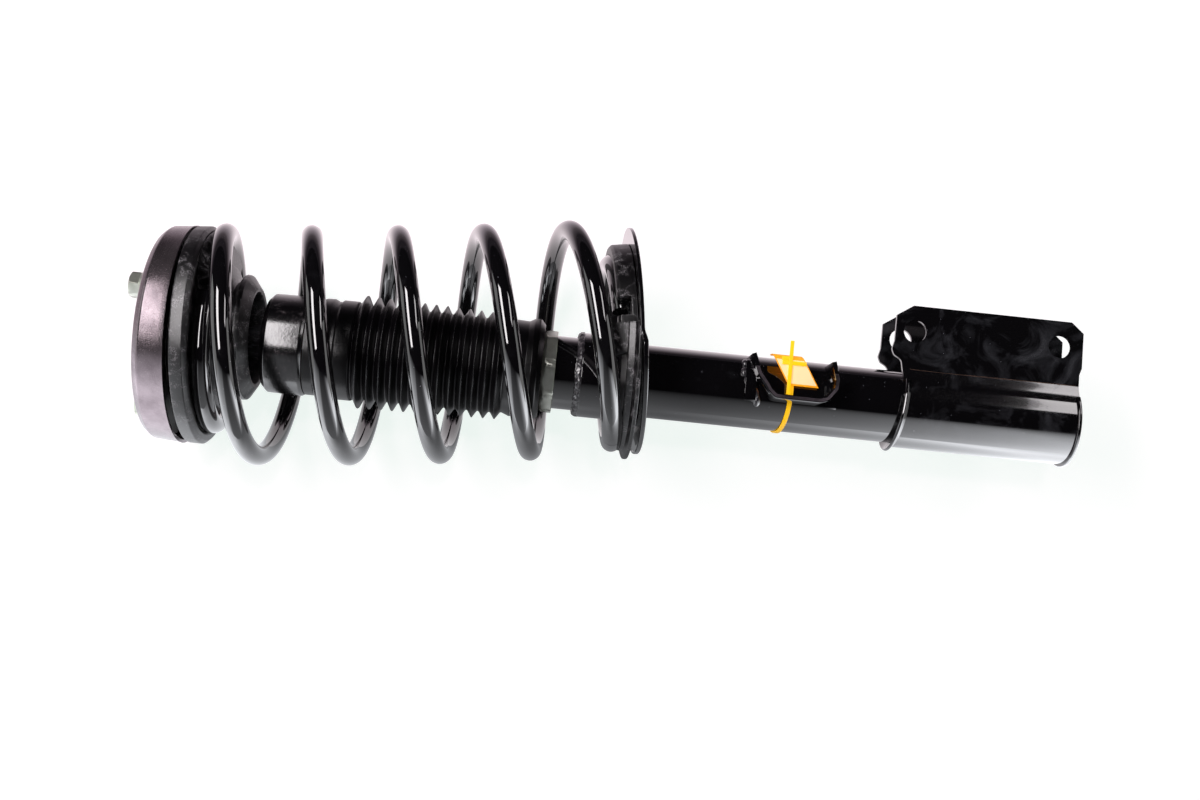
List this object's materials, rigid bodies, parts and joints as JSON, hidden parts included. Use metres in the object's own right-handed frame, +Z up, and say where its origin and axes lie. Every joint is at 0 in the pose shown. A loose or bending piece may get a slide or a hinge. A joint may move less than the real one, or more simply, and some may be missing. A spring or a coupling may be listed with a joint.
{
  "type": "suspension strut assembly",
  "caption": "Ready-assembled suspension strut: damper with bowed coil spring, top mount with steering bearing, dust boot, spring seats, hose bracket and knuckle clevis.",
  "frame": {"origin": "centre of the top mount's seating face, on the strut's axis", "axes": "+Z up along the strut's axis, out of the seating face; +X towards the open side of the knuckle clevis; +Y completes the right-handed frame"},
  "size_m": [0.1905, 0.1652, 0.6545],
  "materials": {
    "can": "satin plated pressing",
    "zinc": "zinc plated",
    "steel": "plain machined",
    "chrome": "hard chrome, polished",
    "black_paint": "gloss black coat",
    "rubber": "matt moulded rubber",
    "boot": "satin moulded elastomer",
    "foam": "microcellular foam",
    "cage": "moulded nylon with steel balls",
    "tag": "coloured plastic"
  },
  "bodies": {
    "top_mount": {"mount_housing": "can", "mount_stud_1": "zinc", "stud_nut_1": "zinc", "mount_stud_2": "zinc", "stud_nut_2": "zinc", "mount_stud_3": "zinc", "stud_nut_3": "zinc", "mount_rubber": "rubber", "mount_core": "steel", "rebound_washer": "zinc", "rod_nut": "zinc", "bearing_upper_race": "steel", "piston_rod": "chrome", "rebound_stop": "steel", "piston": "steel", "piston_nut": "zinc", "jounce_bumper": "foam", "bumper_cup": "boot", "dust_boot": "boot"},
    "ball_cage": {"bearing_ball_cage": "cage"},
    "spring_assembly": {"bearing_lower_race": "steel", "upper_spring_seat": "black_paint", "upper_insulator": "rubber", "coil_spring": "black_paint"},
    "damper_body": {"strut_tube": "black_paint", "base_cap": "black_paint", "pressure_tube": "steel", "base_valve": "steel", "rod_seal": "rubber", "rod_guide": "steel", "gland_nut": "zinc", "lower_spring_seat": "black_paint", "lower_insulator": "rubber", "hose_bracket": "black_paint", "cable_tie": "tag", "hang_tag": "tag", "knuckle_bracket": "black_paint"}
  },
  "joints": [
    {"name": "steer_turn", "type": "hinge", "parent": "top_mount", "child": "spring_assembly", "pos_m": [0, 0, -0.0172], "axis": [0, 0, 1], "range_deg": [-35, 35]},
    {"name": "cage_turn", "type": "hinge", "parent": "top_mount", "child": "ball_cage", "pos_m": [0, 0, -0.0172], "axis": [0, 0, 1], "range_deg": [-17.5, 17.5]},
    {"name": "strut_travel", "type": "slide", "parent": "spring_assembly", "child": "damper_body", "axis": [0, 0, 1], "range_m": [0, 0.1], "stiffness_N_per_m": 25000, "springref_m": -0.08, "deforming": ["coil_spring", "dust_boot"]}
  ],
  "couplings": [
    {"joint": "cage_turn", "follows": "steer_turn", "ratio": 0.5}
  ]
}
